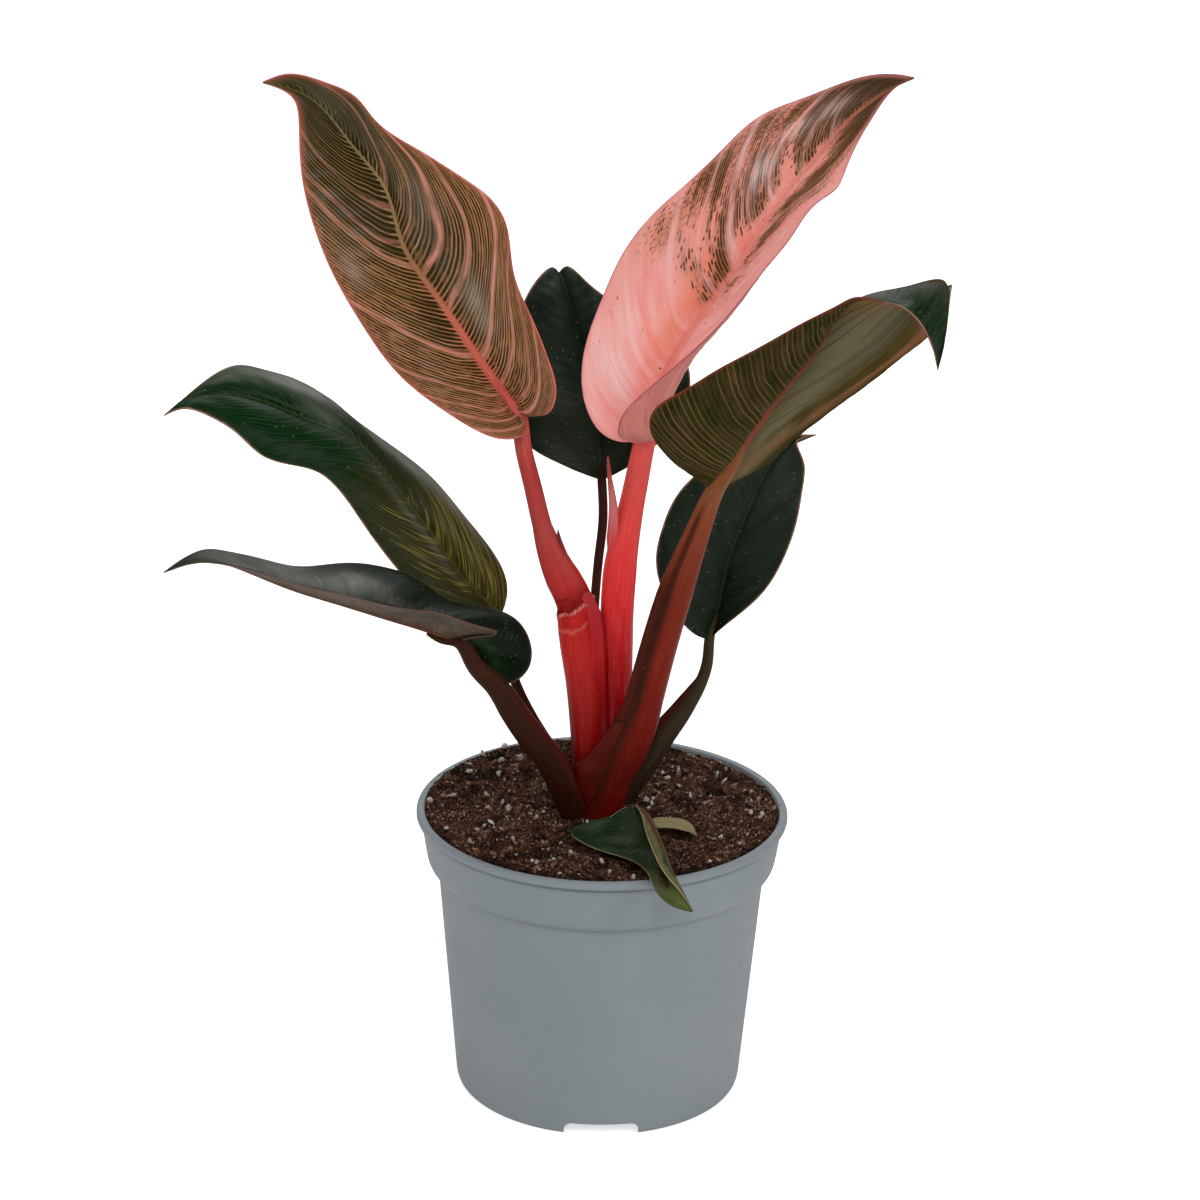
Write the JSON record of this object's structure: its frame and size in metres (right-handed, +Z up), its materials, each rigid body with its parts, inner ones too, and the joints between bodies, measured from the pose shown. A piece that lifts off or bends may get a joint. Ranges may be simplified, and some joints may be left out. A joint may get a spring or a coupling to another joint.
{
  "type": "potted plant",
  "caption": "Variegated foliage plant with long glossy leaves on upright stalks, growing in a round plastic nursery pot filled with soil",
  "frame": {"origin": "centre of the pot's foot, on the ground", "axes": "+Z up along the pot's axis, -Y towards the viewer of the picture, +X to the viewer's right"},
  "size_m": [0.2412, 0.1949, 0.3219],
  "materials": {
    "grey_plastic": "matte moulded plastic",
    "soil": "loose peat and coir",
    "striped_leaf": "waxy olive leaf with salmon stripes",
    "pink_leaf": "waxy pink leaf",
    "green_leaf": "waxy dark green leaf",
    "faded_leaf": "dry papery leaf",
    "red_stalk": "smooth red leaf stalk",
    "brown_stalk": "smooth brown leaf stalk"
  },
  "bodies": {
    "root": {"pot": "grey_plastic", "soil": "soil", "leaf_1": "striped_leaf", "leaf_2": "pink_leaf", "leaf_3": "green_leaf", "leaf_4": "green_leaf", "leaf_5": "green_leaf", "leaf_6": "green_leaf", "leaf_7": "green_leaf", "old_leaf": "green_leaf", "leaf_scrap": "faded_leaf", "stalk_1": "red_stalk", "stalk_2": "red_stalk", "stalk_3": "brown_stalk", "stalk_4": "red_stalk", "stalk_5": "brown_stalk", "stalk_6": "brown_stalk", "stalk_7": "brown_stalk", "new_leaf": "red_stalk"}
  },
  "joints": []
}
